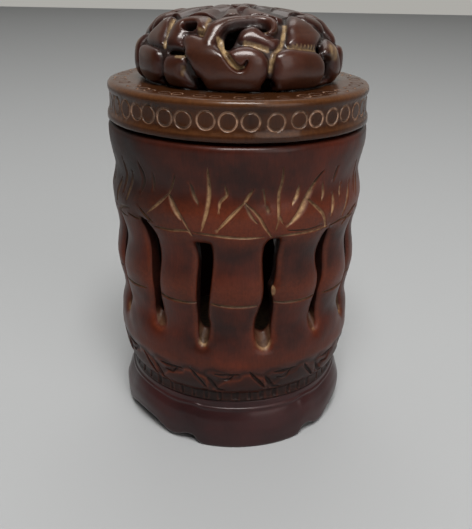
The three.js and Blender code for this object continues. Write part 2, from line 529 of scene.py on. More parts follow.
def slot_outline(index):
    """The outline of one slot on the chart, anticlockwise from its foot, as (u, height)."""
    rng = np.random.default_rng(40 + index)
    lean, top = rng.uniform(-1, 1), rng.uniform(81, 84.5)
    middle = from_seam((SLOT_FIRST + index * SLOT_PITCH) * PER_DEGREE) + SLOT_ASIDE.get(index, 0)
    if index in FRONT_SLOTS:
        heights, left, right = np.array(FRONT_SLOTS[index]).T
    else:
        heights, halves = np.array(SLOT_SECTION).T
        stretch = (top - heights[0]) / (heights[-1] - heights[0])
        heights = heights[0] + (heights - heights[0]) * stretch
        drift = lean * ease((heights - 60) / 20) + 0.25 * np.sin(heights / 6 + index)
        right = drift + halves * rng.uniform(0.88, 1.14, len(halves))
        left = drift - halves * rng.uniform(0.88, 1.14, len(halves))
    path = np.vstack([
        np.column_stack([middle + right, heights]),
        np.column_stack([middle + left, heights])[::-1],
    ])
    return evenly(curve_through(path, 6, closed=True), 0.5, closed=True)


# Leaf marks of the upper band, on a third of the round: (points, width, depth, bareness)
LEAF_MARKS = [
    ([(-28.9, 96.6), (-33.6, 92.8), (-38.4, 89.6)], 1.2, 0.7, 0.8),
    ([(-25.1, 103.4), (-26.8, 99.7), (-28.9, 96.4)], 0.9, 0.6, 0.3),
    ([(-28.4, 96.2), (-25.6, 92.6), (-22.4, 89.2)], 2.0, 0.8, 0.65),
    ([(-28.2, 96.6), (-23.8, 91.8), (-20.8, 88.3), (-18, 84.2)], 1.0, 0.6, 0.6),
    ([(-36.1, 102), (-36.6, 97)], 1.5, 0.7, 0.1),
    ([(-18.6, 101), (-17.2, 97.5), (-15.3, 95)], 1.6, 0.4, 0.25),
    ([(-11, 106.2), (-10.8, 101.5), (-10.9, 96.7), (-11.8, 92), (-13.6, 86.6)], 1.6, 0.9, 1.0),
    ([(-4.3, 101), (-3.6, 98.4), (-5.1, 97), (-6.3, 95.8), (-6.6, 93.6)], 1.3, 0.7, 0.8),
    ([(3.6, 96.1), (0.9, 93.9), (-2.2, 91.4), (-6.8, 87.2)], 1.4, 0.8, 1.0),
    ([(6.6, 99.9), (4.7, 97.5), (3.0, 95.4)], 1.3, 0.7, 0.8),
    ([(3.4, 96.1), (8.5, 92.2), (11.9, 87.8), (14.8, 84.4)], 1.2, 0.7, 0.7),
    ([(3.8, 95.4), (6.1, 91.8), (8.6, 89.4)], 1.1, 0.4, 0.4),
    ([(11.1, 99.9), (11.9, 95.6)], 0.9, 0.3, 0.3),
    ([(12.6, 94.6), (13.1, 92.8)], 1.8, 0.35, 0.3),
    ([(18.3, 107), (18.5, 103.1), (17.6, 98.3), (17.3, 92), (17.3, 89.6), (16.4, 87)], 1.3, 0.8, 0.7),
    ([(17.6, 91.6), (19, 89)], 1.0, 0.5, 0.6),
    ([(26.5, 100.2), (25.7, 97.3), (23.5, 94.8)], 1.6, 0.7, 1.0),
    ([(37.4, 104.2), (33.5, 100.1), (31.2, 97.2)], 1.5, 0.9, 0.1),
    ([(34.2, 100.4), (30.1, 95.7), (26.4, 91.6), (22.2, 88.4)], 2.4, 1.0, 1.0),
    ([(30.4, 95.8), (36.4, 91.5), (39.2, 88.8), (41.3, 84.7)], 1.4, 0.8, 0.8),
    ([(38.7, 99.9), (39.1, 96.7), (38.1, 94.6)], 1.3, 0.6, 0.6),
    ([(45.8, 104.2), (45.1, 100.2)], 1.7, 0.8, 0.1),
    ([(50.6, 98), (49.5, 94.3)], 1.3, 0.6, 0.6),
    ([(45, 95.4), (44.8, 92.3), (43.8, 88.9)], 1.7, 0.8, 0.8),
    ([(58.6, 97), (56.4, 93), (53.0, 87.8)], 1.8, 0.9, 0.6),
    ([(67, 87.6), (60.1, 86.2), (54.2, 83.8)], 1.6, 0.8, 0.3),
    ([(63.5, 104), (65, 99), (63, 93)], 1.6, 0.9, 0.2),
    ([(70, 101), (68.5, 96), (66, 91)], 1.5, 0.8, 0.5),
    ([(75.5, 105), (77, 102), (77.2, 99), (75.5, 95.2)], 1.8, 1.0, 0.1),
    ([(75.2, 89.6), (79.2, 87.2), (82.3, 85.9)], 1.3, 0.7, 0.4),
]
# Broken line under the leaf band on the same third
BAND_LINES = [
    ([(-53, 85.8), (-46, 85.2), (-38, 85.9)], 1.0, 0.45, 0.2),
    ([(-35.7, 84.7), (-26.9, 84.9), (-20, 85.6), (-17.9, 84)], 1.1, 0.5, 0.5),
    ([(-17.2, 85.3), (-8.1, 84.9), (1.9, 84.4), (11, 84.5)], 1.1, 0.5, 0.75),
    ([(16.5, 84.1), (22.8, 84.6), (32.5, 84.5), (42.4, 84.8)], 1.1, 0.5, 0.65),
    ([(22, 86.2), (30, 85.5), (38, 85.9)], 0.8, 0.3, 0.1),
    ([(44, 84.6), (53, 85.4), (62, 84.6), (66, 85.2)], 1.0, 0.45, 0.3),
]
# The rocks of the lower band on one stalk, measured from its middle: raised steps, as (outline, rise, wear)
ROCKS = [
    ([(-11.6, 23.8), (-10.3, 25.4), (-8.2, 26.6), (-5, 28.9), (-1, 29.8), (2.6, 30.4), (4, 32.2),
      (7.4, 32.4), (11, 31.2), (14.4, 30), (15.4, 27), (14.6, 23.8), (2, 23.2)], 0.55, 0.8),
    ([(15.2, 31.2), (17.4, 32.8), (21, 32.2), (24.2, 31.2), (22.6, 29.6), (18.2, 29.9)], 0.5, 0.25),
]
ROCK_EDGE = 1.1
# The cuts between the rocks: (points, width, depth, bareness)
ROCK_CUTS = [
    ([(-19.4, 32.6), (-17, 30), (-14.6, 27.8), (-12.2, 25.4)], 1.7, 1.1, 0.0),
    ([(15.2, 30), (17.2, 27.6), (19.2, 25.2), (22.6, 24.6)], 2.2, 0.9, 0.0),
    ([(20.4, 29.6), (24.6, 29.2), (27.4, 31.6)], 1.1, 0.6, 0.0),
    ([(-9.4, 32.8), (-4, 32.3), (2, 32.6)], 1.6, 0.5, 0.0),
]
# A chip of bare wood on the side of one front slot
CHIP = ([(17.0, 66.4), (17.3, 64.6), (17.1, 62.6)], 1.7, 0.5, 0.75)
THIRDS = (0, 120, 240)


def shifted(points, by, rng, wander=0.0):
    moved = np.asarray(points, float) + [by, 0]
    return moved + rng.uniform(-1, 1, 2) * [wander, wander * 0.5]


def leaf_band_cuts(turn):
    """The leaves and the broken line on one third of the round. The second and the third wander a little."""
    rng = np.random.default_rng(7 + turn)
    wander = 1.2 if turn else 0.0
    for points, width, depth, bare in LEAF_MARKS + BAND_LINES:
        bare *= rng.uniform(0.5, 1.1) if turn else 1
        yield Cut(shifted(points, turn, rng, wander), width, depth, bare, fade=0.55)


def node_line(middle, rng):
    """The ring of a bamboo node, cut across one stalk and stopping short of the slots."""
    tilt = rng.uniform(-0.4, 0.4)
    height = NODE_HEIGHT + rng.uniform(-0.5, 0.5)
    half = rng.uniform(9.4, 10.2)
    points = [(middle - half, height - tilt), (middle, height - 0.2), (middle + half, height + tilt)]
    return Cut(points, 1.3, 0.65, rng.uniform(0.1, 0.75), blunt=0.6)


def notches():
    """Short upright notches all round the wall's foot."""
    rng = np.random.default_rng(5)
    at = 2.0
    while at < 361:
        points = [(at, WALL_BOTTOM + 0.5), (at + rng.uniform(-0.4, 0.4), NOTCH_TOP)]
        yield Cut(points, rng.uniform(1.2, 2.8), rng.uniform(0.25, 0.6), blunt=0.8)
        at += rng.uniform(6.2, 8.6)


def wall_carving():
    """Every cut and every raised patch on the wall."""
    cuts, pads = [Cut(*CHIP)], []
    for turn in THIRDS:
        cuts += leaf_band_cuts(turn)
    for stalk in range(SLOT_COUNT):
        rng = np.random.default_rng(90 + stalk)
        middle = SLOT_FIRST + (stalk - 0.5) * SLOT_PITCH
        cuts.append(node_line(middle, rng))
        for points, rise, worn in ROCKS:
            outline = shifted(points, middle, rng, 1.0)
            pads.append(Pad(outline, rise, ROCK_EDGE, worn * rng.uniform(0.0, 0.8)))
        for points, width, depth, bare in ROCK_CUTS:
            cuts.append(Cut(shifted(points, middle, rng, 1.0), width, depth, bare))
    return [*cuts, *notches()], pads


def nearest_slot_edge(chart, loops):
    """How far each point of the skin is from the nearest slot's outline, up to the reach of its edge."""
    reach = SLOT_EDGE_REACH
    result = np.full(len(chart), reach)
    for loop in loops:
        middle = loop[:, 0].mean()
        u, v = unwrap(chart[:, 0], middle), chart[:, 1]
        low, high = loop.min(0), loop.max(0)
        beside_it = np.abs(u) < (high[0] - low[0]) / 2 + reach
        rows = np.flatnonzero(beside_it & (v > low[1] - reach) & (v < high[1] + reach))
        line = loop - [middle, 0]
        for start in range(0, len(rows), BATCH):
            part = rows[start:start + BATCH]
            p = np.column_stack([u[part], v[part]])
            away = np.sqrt(((p[:, None, :] - line) ** 2).sum(2)).min(1)
            result[part] = np.minimum(result[part], away)
    return result


def carved_radius(chart, relief, edge):
    """The radius of the wall at each point of its skin. It falls away towards the slots and is rolled into
    them, each stalk is a little hollow or full, and the rims are left as they were turned."""
    height = chart[:, 1]
    base = wall_radius(height)
    in_slots = ease((height - SLOTS_FROM) / 5) * ease((SLOTS_TO - height) / 5)
    rounding = 0.85 * np.exp(-edge / 1.1)
    hollow = 0.9 * np.exp(-edge / 3.0) * in_slots
    crown = (0.30 * ease(edge / 8) - 0.15) * in_slots
    place = rolled_up(chart, CHART_R)
    uneven = 0.16 * ripple(place, 22, 1) + 0.05 * ripple(place, 7, 2)
    calm = ease(height - WALL_BOTTOM) * ease(WALL_TOP - height)
    return base * (1 - calm) + (base + relief.out - rounding - hollow + crown + uneven) * calm


def wall_finish(chart, relief, edge):
    """How bare, rubbed and dark the wall is at each point of its skin, with its painted highlights and
    painted shade.
    """
    degrees, height = chart[:, 0] / PER_DEGREE, chart[:, 1]
    # Bare where the saw broke out at the slots' sills; lighter round the slots, rubbed and with a painted
    # highlight on their lips; and rubbed where the stalks swell
    sill = ease((45.5 - height) / 2.5) * np.exp(-((edge - 0.1) / 0.4) ** 2) * (height > SLOTS_FROM + 1)
    slot_lip_sheen_and_wear = 0.35 * np.exp(-((edge - 0.9) / 0.8) ** 2)
    swelling = 0.42 * ease((wall_radius(height) - 44.2) / 1.5)
    swelling *= ease((height - 31) / 4) * ease((100 - height) / 5)
    # Darker in the lower band, most of all in its notches: dirt and dark stain, with painted shade under the
    # wall's overhang
    low_band_dirt_and_shade = ease((33 - height) / 3) * (0.62 + 0.33 * ease((24.5 - height) / 2)) * (1 - relief.worn)
    from_front = (degrees + 180) % 360 - 180
    # Painted shade: darker high on the wall's left side
    painted_shade_left = 0.8 * ease((-from_front - 14) / 40) * ease((height - 78) / 12)
    return {
        "bare": np.maximum(relief.bare, 0.7 * sill),
        "worn": np.maximum.reduce([relief.worn, slot_lip_sheen_and_wear, swelling]),
        "grime": np.maximum.reduce([relief.grime, low_band_dirt_and_shade, painted_shade_left]),
    }


def bore_outline(loop):
    """Where a slot comes out in the bore: its sides stay parallel and its sill has climbed."""
    middle = loop[:, 0].mean()
    out = loop.copy()
    out[:, 0] = middle + (loop[:, 0] - middle) * 0.98 * 44.3 / BORE_R
    out[:, 1] += 5.2 * ease((53 - loop[:, 1]) / 11) + 0.4 * ease((loop[:, 1] - 76) / 6)
    return out


def slot_side(outer, inner):
    """The rows of points between a slot's edges outside and in the bore, and the finish of each row."""
    rows, tints = [], []
    sill = ease((52 - outer[:, 2]) / 5)
    for share in (0.08, 0.2, 0.36, 0.52, 0.68, 0.84):
        points = outer + (inner - outer) * share
        rough = 0.17 * math.sin(math.pi * share)
        rows.append(points + rough * np.column_stack([ripple(points, 2.6, 3 + k) for k in range(3)]))
        # The slot's sides are painted darker as shade inside the slot, less so at the sill
        tints.append({"bare": 0.18 * sill * (1 - 0.5 * share), "grime": 0.75 - 0.35 * sill})
    return rows, tints


def pot_wall(material):
    cuts, pads = wall_carving()
    loops = [slot_outline(index) for index in range(SLOT_COUNT)]
    marks = np.vstack([mark.points() for mark in cuts + pads])

    def by_a_slot(points):
        return next_to(points, np.vstack(loops), 1.1)

    def among_rocks(points):
        return points[:, 1] < ROCKS_TOP

    bands = ((0.55, by_a_slot), (0.75, among_rocks), (1.0, None))
    outer = Skin(WALL_BOTTOM, WALL_TOP, loops, [marks], bands)
    relief = Relief(outer.uv)
    relief.pads(pads)
    relief.cuts(cuts)
    edge = nearest_slot_edge(outer.uv, loops)
    outside = rolled_up(outer.uv, carved_radius(outer.uv, relief, edge))
    inner = Skin(WALL_BOTTOM, WALL_TOP, [bore_outline(loop) for loop in loops], (), ((2.4, None),))
    inside = rolled_up(inner.uv, BORE_R)

    shell = Shell("pot_wall_carved")
    start_out = shell.skin(outer, outside, **wall_finish(outer.uv, relief, edge))
    # The bore is painted darker: painted shade inside the pot
    start_in = shell.skin(inner, inside, flip=True, grime=0.5)
    for from_ring, to_ring in zip(outer.loops, inner.loops):
        rows, tints = slot_side(outside[from_ring], inside[to_ring])
        shell.rings(from_ring + start_out, rows, to_ring + start_in, tints)
    ring = outer.uv[outer.high_rim][:, 0] / PER_DEGREE
    top = [on_round(ring, WALL_TOP, radius) for radius in (44.4, 43.6, 39.6, 39.0)]
    shell.rings(outer.high_rim + start_out, top, inner.high_rim + start_in)
    bottom = [on_round(ring, WALL_BOTTOM, radius) for radius in (40.8, 39.4)]
    shell.rings(outer.low_rim + start_out, bottom, inner.low_rim + start_in)
    return shell.mesh_object(material)


# ---------------------------------------------------------------- the lid's ring

RING_BORE_R = LID_BORE_R - 1.8               # a ledge for the dome's foot to stand on
RING_UNDERSIDE = curve_through([(RING_BORE_R, LID_BOTTOM), (40, LID_BOTTOM), (45.2, LID_BOTTOM)], 3)
RING_SIDE = np.array([
    (45.6, 114.5), (46.0, 114.8), (46.15, 115.4), (46.1, 116.3), (45.95, 117.1), (45.7, 117.5),
    (45.5, 117.7), (45.45, 118.1), (45.3, 119.2), (45.25, 121.5), (45.25, 123.3), (45.2, 123.9),
    (45.35, 124.2), (45.6, 124.5), (45.75, 125.0), (45.75, 125.7), (45.55, 126.4), (45.1, 126.95),
    (44.4, 127.3), (43.6, 127.45), (43, LID_TOP), (40, LID_TOP), (36.5, LID_TOP), (RING_BORE_R, LID_TOP),
])
RING_OUTLINE = np.vstack([RING_UNDERSIDE, RING_SIDE])
RING_LENGTH = lengths_along(RING_OUTLINE)
PUNCH_COUNT = 42
FRONT_PUNCHES = [-44.3, -37.6, -29.3, -21.2, -12.0, -3.5, 5.1, 15.0, 24.4, 32.1, 40.5, 48.6, 57.6]
BAND_HEIGHT, BAND_PUNCH_R = 121.1, 2.65      # the circles round the ring's side
TOP_CIRCLES_AT, TOP_PUNCH_R = 41.0, 2.0      # the smaller circles on its top
SECOND_STRIKES = 0.6                         # the share of the side's circles that were struck again


def along_ring(height):
    """How far along the ring's outline its side reaches that height."""
    return np.interp(height, RING_SIDE[:, 1], RING_LENGTH[len(RING_UNDERSIDE):])


def circle_cut(degrees, at, radius, squash, width, depth, bare, tilt, sweep=372):
    """A ring, or part of one, struck with a hollow punch, a little out of round."""
    turn = np.radians(np.linspace(tilt, tilt + sweep, 26))
    around = degrees + radius * np.cos(turn) / PER_DEGREE
    return Cut(np.column_stack([around, at + radius * squash * np.sin(turn)]), width, depth, bare, blunt=0.9)


def punched_circles(band_at, top_at):
    rng = np.random.default_rng(11)
    unseen = PUNCH_COUNT - len(FRONT_PUNCHES)
    spare = np.linspace(FRONT_PUNCHES[-1], FRONT_PUNCHES[0] + 360, unseen + 2)[1:-1]
    for at in [*FRONT_PUNCHES, *(spare + rng.uniform(-1.2, 1.2, unseen))]:
        radius = BAND_PUNCH_R * rng.uniform(0.93, 1.05)
        yield circle_cut(at, band_at + rng.uniform(-0.25, 0.25), radius, rng.uniform(0.95, 1.06), 0.85, 0.6,
                         rng.uniform(0.45, 0.95), rng.uniform(0, 360))
        if rng.random() < SECOND_STRIKES:
            yield circle_cut(at + rng.uniform(-0.5, 0.5), band_at + rng.uniform(-0.3, 0.3), radius, 1.0, 0.6,
                             0.4, 0.6, rng.uniform(0, 360), rng.uniform(50, 160))
        radius = TOP_PUNCH_R * rng.uniform(0.9, 1.1)
        yield circle_cut(at + 4 + rng.uniform(-1.5, 1.5), top_at + rng.uniform(-0.3, 0.3), radius, 0.95, 0.8,
                         0.4, rng.uniform(0.1, 0.8), rng.uniform(0, 360))


def lid_ring(material):
    end = RING_LENGTH[-1]
    top_at = end - (TOP_CIRCLES_AT - RING_BORE_R)
    cuts = list(punched_circles(along_ring(BAND_HEIGHT), top_at))

    def carved(points):
        return (points[:, 1] > along_ring(115)) & (points[:, 1] < top_at + 4)

    skin = Skin(0, end, (), [np.vstack([cut.points() for cut in cuts])], ((0.8, carved), (2.2, None)))
    relief = Relief(skin.uv)
    relief.cuts(cuts)
    degrees, along = skin.uv[:, 0] / PER_DEGREE, skin.uv[:, 1]
    base = np.column_stack([np.interp(along, RING_LENGTH, k) for k in RING_OUTLINE.T])
    slope = np.column_stack([np.interp(along, RING_LENGTH, np.gradient(k)) for k in RING_OUTLINE.T])
    slope /= np.linalg.norm(slope, axis=1)[:, None]
    calm = ease(along / 3) * ease((end - along) / 3)
    lift = relief.out + 0.07 * ripple(on_round(degrees, base[:, 1], base[:, 0]), 14, 21) * calm
    radius = base[:, 0] + slope[:, 1] * lift
    height = base[:, 1] - slope[:, 0] * lift
    # Rubbed, with a painted highlight strip, on the top edge and, less, rubbed on the edge under the band
    edges = 0.8 * np.exp(-((height - 126.6) / 0.8) ** 2) + 0.56 * np.exp(-((height - 117.3) / 0.5) ** 2)
    shell = Shell("lid_ring_punched")
    start = shell.skin(skin, on_round(degrees, height, radius), bare=relief.bare, grime=relief.grime,
                       worn=np.maximum(relief.worn, edges))
    ring = skin.uv[skin.high_rim][:, 0] / PER_DEGREE
    levels = np.linspace(LID_TOP - 0.5, LID_BOTTOM + 0.5, 5)
    bore = [on_round(ring, level, RING_BORE_R - 0.05) for level in levels]
    shell.rings(skin.high_rim + start, bore, skin.low_rim + start)
    return shell.mesh_object(material)


# ---------------------------------------------------------------- turned pieces

FOOT_COUNT = 3
BROAD_FOOT_AT = 9.5
FOOT_RISE = 6.0
# The foot's edge from the middle of a broad foot to the middle of an arch, as (degrees, lift off the table)
FOOT_EDGE = [
    (0, 0), (22, 0), (26, 0.9), (30.5, 3.7), (34, 3.1), (38, 1.8), (41, 1.7), (46, 2.9), (52, 4.6),
    (60, 5.3),
]
TURNING_INPUTS = [
    ("Outline", "NodeSocketGeometry"), ("Around", "NodeSocketInt"), ("Feet", "NodeSocketInt"),
    ("Broad Foot At", "NodeSocketFloat"), ("Foot Rise", "NodeSocketFloat"), ("Height", "NodeSocketFloat"),
    ("Uneven", "NodeSocketFloat"), ("Bare", "NodeSocketFloat"), ("Wood", "NodeSocketMaterial"),
]
# What the lathe works out for each point, in order: (its name, operation, first, second). Index, X, Z, Edge
# and Noise come from other nodes.
TURNING_SUMS = [
    ("across", "ADD", "Around", 1.0),
    ("rows", "DIVIDE", "Index", "across"),
    ("step", "FLOOR", "rows", 0.0),
    ("before", "MULTIPLY", "step", "across"),
    ("part", "SUBTRACT", "Index", "before"),
    ("sweep", "MULTIPLY", "part", 360.0),
    ("degrees", "DIVIDE", "sweep", "Around"),
    # The scalloped foot: the lift fades out towards the top
    ("half pitch", "DIVIDE", 180.0, "Feet"),
    ("from foot", "SUBTRACT", "degrees", "Broad Foot At"),
    ("to and fro", "PINGPONG", "from foot", "half pitch"),
    ("along edge", "DIVIDE", "to and fro", "half pitch"),
    ("up", "DIVIDE", "Z", "Height"),
    ("share", "SUBTRACT", 1.0, "up"),
    ("edge", "MAXIMUM", "Edge", 0.0),
    ("lift", "MULTIPLY", "edge", "Foot Rise"),
    ("lift here", "MULTIPLY", "lift", "share"),
    ("height", "ADD", "Z", "lift here"),
    # Round the axis, a little out of round
    ("angle", "RADIANS", "degrees", 0.0),
    ("east", "SINE", "angle", 0.0),
    ("south", "COSINE", "angle", 0.0),
    ("climb", "MULTIPLY", "height", 20.0),
    ("off", "SUBTRACT", "Noise", 0.5),
    ("uneven here", "MULTIPLY", "Uneven", "share"),
    ("wobble", "MULTIPLY", "off", "uneven here"),
    ("radius", "ADD", "X", "wobble"),
    ("x", "MULTIPLY", "radius", "east"),
    ("forward", "MULTIPLY", "radius", "south"),
    ("y", "MULTIPLY", "forward", -1.0),
]


def foot_edge_curve(tree):
    """The foot's edge as a curve from 0 to 1, in shares of half a pitch and of the foot's rise."""
    node = add(tree, "ShaderNodeFloatCurve")
    ends = [(at / FOOT_EDGE[-1][0], lift / FOOT_RISE) for at, lift in FOOT_EDGE]
    curve = node.mapping.curves[0]
    curve.points[0].location, curve.points[1].location = ends[0], ends[-1]
    for at, lift in ends[1:-1]:
        curve.points.new(at, lift)
    node.mapping.update()
    return node


def turning_tree():
    """Turns a row of points, with radius along X and height along Z, round the upright axis, and lifts the
    foot's edge between its feet."""
    tree = bpy.data.node_groups.new("turned_on_a_lathe", "GeometryNodeTree")
    tree.interface.new_socket("Turned", in_out="OUTPUT", socket_type="NodeSocketGeometry")
    for label, kind in TURNING_INPUTS:
        tree.interface.new_socket(label, in_out="INPUT", socket_type=kind)
    given = add(tree, "NodeGroupInput").outputs
    place = add(tree, "GeometryNodeInputPosition")
    point = add(tree, "GeometryNodeSampleIndex", {"data_type": "FLOAT_VECTOR"}, i0=given["Outline"],
                i1=place)
    split = add(tree, "ShaderNodeSeparateXYZ", Vector=point).outputs
    edge = foot_edge_curve(tree)
    around = add(tree, "ShaderNodeCombineXYZ")
    noise = add(tree, "ShaderNodeTexNoise", Vector=around, Scale=2.4, Detail=1.0)
    known = {label: given[label] for label, _ in TURNING_INPUTS}
    known |= {"X": split["X"], "Z": split["Z"], "Edge": edge.outputs[0], "Noise": noise.outputs[0]}
    known["Index"] = add(tree, "GeometryNodeInputIndex").outputs[0]
    for label, operation, first, second in TURNING_SUMS:
        first, second = known.get(first, first), known.get(second, second)
        total = add(tree, "ShaderNodeMath", {"operation": operation}, i0=first, i1=second)
        known[label] = total.outputs[0]
    tree.links.new(known["step"], point.inputs["Index"])
    tree.links.new(known["along edge"], edge.inputs["Value"])
    for axis, label in (("X", "east"), ("Y", "south"), ("Z", "climb")):
        tree.links.new(known[label], around.inputs[axis])

    steps = add(tree, "GeometryNodeAttributeDomainSize", Geometry=given["Outline"]).outputs["Point Count"]
    sheet = add(tree, "GeometryNodeMeshGrid", Vertices_X=steps, Vertices_Y=known["across"]).outputs["Mesh"]
    turned_place = add(tree, "ShaderNodeCombineXYZ", X=known["x"], Y=known["y"], Z=known["height"])
    shape = add(tree, "GeometryNodeSetPosition", Geometry=sheet, Position=turned_place)
    shape = add(tree, "GeometryNodeMergeByDistance", Geometry=shape, Distance=0.000002)
    shape = add(tree, "GeometryNodeStoreNamedAttribute", {"data_type": "FLOAT", "domain": "POINT"},
                Geometry=shape, Name="bare", Value=given["Bare"])
    shape = add(tree, "GeometryNodeRealizeInstances", Geometry=shape)
    shape = add(tree, "GeometryNodeSetMaterial", Geometry=shape, Material=given["Wood"])
    add(tree, "NodeGroupOutput", Turned=shape)
    return tree


def turned(name, outline, material, closed=True, **sizes):
    """A piece turned from an outline of (radius, height), closed round its section or ending on the axis."""
    path = [(radius * MM, 0, height * MM) for radius, height in outline]
    mesh = bpy.data.meshes.new(name)
    mesh.from_pydata(path + path[:1] if closed else path, [], [])
    obj = in_scene(name, mesh)
    lathe = obj.modifiers.new("lathe", "NODES")
    lathe.node_group = TURNING
    values = {"Around": 240, "Feet": 1, "Broad Foot At": 0.0, "Foot Rise": 0.0, "Height": FOOT_TOP * MM,
              "Uneven": 0.0, "Bare": 0.0, "Wood": material, **sizes}
    for item in TURNING.interface.items_tree:
        if item.name in values:
            lathe[item.identifier] = values[item.name]
    apply_modifiers(obj)
    drop_loose_points(obj.data)
    obj.data.shade_smooth()
    return obj


def foot_ring(material):
    outside = curve_through([
        (38.2, 0.25), (43.2, 0.0), (43.9, 0.35), (44.15, 1.2), (44.2, 3.4), (44.2, 5.4), (44.0, 7.4),
        (43.5, 9.4), (43.0, 11.2), (42.3, 13), (41.75, 14.2), (41.7, 14.8), (41.75, 15.3), (41.55, 15.75),
        (41.25, 16.0), (41.15, 16.8), (41.15, 17.9), (41.0, 18.4), (40.6, FOOT_TOP),
    ], 4)
    inside = [(38, FOOT_TOP), (36.3, FOOT_TOP), (36, 18), (36.2, 12), (36.6, 6), (37, 1.2), (37.4, 0.5)]
    sizes = {"Around": 360, "Feet": FOOT_COUNT, "Broad Foot At": BROAD_FOOT_AT, "Foot Rise": FOOT_RISE * MM,
             "Uneven": 0.5 * MM}
    return turned("foot_ring_scalloped", np.vstack([outside, inside]), material, **sizes)


def lid_spigot(material):
    low, high = heights_of("lid_spigot")
    outline = [(35.2, low), (37.6, low), (38.1, low + 0.4), (38.3, low + 1), (38.3, high), (35, high),
               (35, low + 0.3)]
    return turned("lid_spigot_turned", outline, material, Bare=0.5)


def floor_disc(material):
    low, high = heights_of("floor_disc")
    outline = [(0, low), (20, low), (38, low), (38.3, low + 0.4), (38.3, high - 0.5), (37.9, high - 0.1),
               (30, high), (22, high - 0.1), (12, high), (4, high - 0.1), (0, high - 0.1)]
    return turned("floor_disc_planed", outline, material, closed=False, Bare=0.5, Around=180)


# ---------------------------------------------------------------- the dome

DOME_OUTLINE = curve_through([
    (33.3, DOME_BOTTOM), (34.4, 128.6), (35.4, 130.2), (36.0, 132.9), (35.8, 137.2), (34.9, 139.7),
    (32.6, 142.2), (30.3, 144.7), (28.0, 147.1), (24, 149.0), (18, 150.3), (11, 151.2), (5, 151.6),
    (0, 151.7),
], 8)
DOME_WALL = 4.0
DOME_GROUND = 2.2                    # how deep the ground lies between the lobes
LOBE_SHOULDER = 3.3                  # how far in from a lobe's outline its rounding goes
VOXEL = 0.47
CROWN_EDGE = 25.5                    # how far the crown's lumps reach from the middle of the top
CURLS_EDGE = 12.5                    # how far its curls reach
BUTTON_EDGE = 4.0                    # how far its button reaches
CROWN_CURLS, CROWN_LUMPS = 5, 10

# The dome's carving in front, as (degrees, distance up the dome from its foot). It fills the round from
# FRONT_FROM to FRONT_TO, and the rest of the round repeats it twice, a little narrower.
FRONT_FROM, FRONT_TO = -70.0, 75.0
BACK_COPIES = 2
LOBES = [
    [(-33.5, 16.6), (-33.4, 19), (-27.7, 19.6), (-19, 18.4), (-12.8, 16.8), (-9.4, 15), (-5.5, 14.2),
     (-1.5, 15.7), (4.4, 16.3), (9.3, 15.3), (13.3, 12.8), (15, 10), (15.1, 7.3), (14.2, 4.6), (12, 1.5),
     (1, 1.1), (-11, 1.1), (-17.4, 1.4), (-19.5, 4), (-23.4, 6.4), (-26, 8.8), (-28.7, 11.4), (-30.4, 14.4)],
    [(-45.4, 3.2), (-45.5, 6.2), (-45.6, 9.8), (-48.6, 12.6), (-56.7, 13.6), (-67, 13.4), (-69.8, 10.8),
     (-68.8, 7.1), (-67.9, 3.2), (-60, 1.9), (-52, 1.9)],
    [(-42.9, 8.2), (-40, 10.6), (-33.3, 11.2), (-28.2, 10.6), (-28, 8.3), (-29, 6.5), (-27.1, 4.4),
     (-24.2, 2.2), (-32.5, 1.4), (-40.5, 1.6), (-43.2, 4)],
    [(-44.2, 14.9), (-47.2, 18.2), (-48.4, 22.2), (-47, 26), (-38, 28.8), (-28, 29.4), (-21.5, 28.4),
     (-19.6, 24), (-20.6, 20.4), (-27, 20.6), (-33.7, 20.4), (-34.8, 17.5), (-31.6, 14.9), (-38.1, 14.6)],
    [(-67, 14.9), (-69.4, 18.3), (-67, 22.5), (-62.6, 27), (-55, 26), (-50.6, 21.4), (-48.4, 17.6),
     (-46, 14.6), (-55.9, 14.4)],
    [(-0.4, 19.2), (1.0, 21.4), (3.9, 22.9), (7.6, 23.8), (10.8, 23.4), (13.4, 21.9), (15.6, 20.6),
     (18.6, 19.2), (22.6, 18.9), (24.4, 18), (22.5, 16.2), (18.7, 15.2), (15.5, 15.6), (11.4, 16.7),
     (7.7, 17.4), (4.4, 17.4), (1.1, 17.5)],
    [(44, 29.8), (34, 24), (31, 19.8), (28.4, 16.9), (30, 16), (34.7, 15.5), (42.9, 15), (48.9, 15.5),
     (55.5, 17), (61, 18.6), (57, 22), (53.4, 26), (50, 29.6)],
    [(58.4, 23.4), (63, 20.4), (67.6, 18.9), (73, 21), (74, 26), (68, 30), (57, 30.4), (54.6, 27.6)],
    [(62.9, 17.6), (67.2, 16), (69.6, 12.2), (72.6, 8.8), (74.2, 5.4), (71, 1.8), (63, 1.8), (60, 6.2),
     (58.8, 9.2), (54.2, 10.8), (52.8, 12.2), (55, 14.6)],
    [(18.6, 12.5), (22.1, 14.4), (27.1, 15.2), (34, 14.4), (43, 13.4), (47.2, 12.1), (50.8, 9.6),
     (52.1, 7.4), (51.8, 3.7), (48, 1.7), (38.9, 1.4), (27.6, 1.4), (19.7, 1.5), (18, 3.9), (18.3, 8),
     (17.9, 10.6)],
]
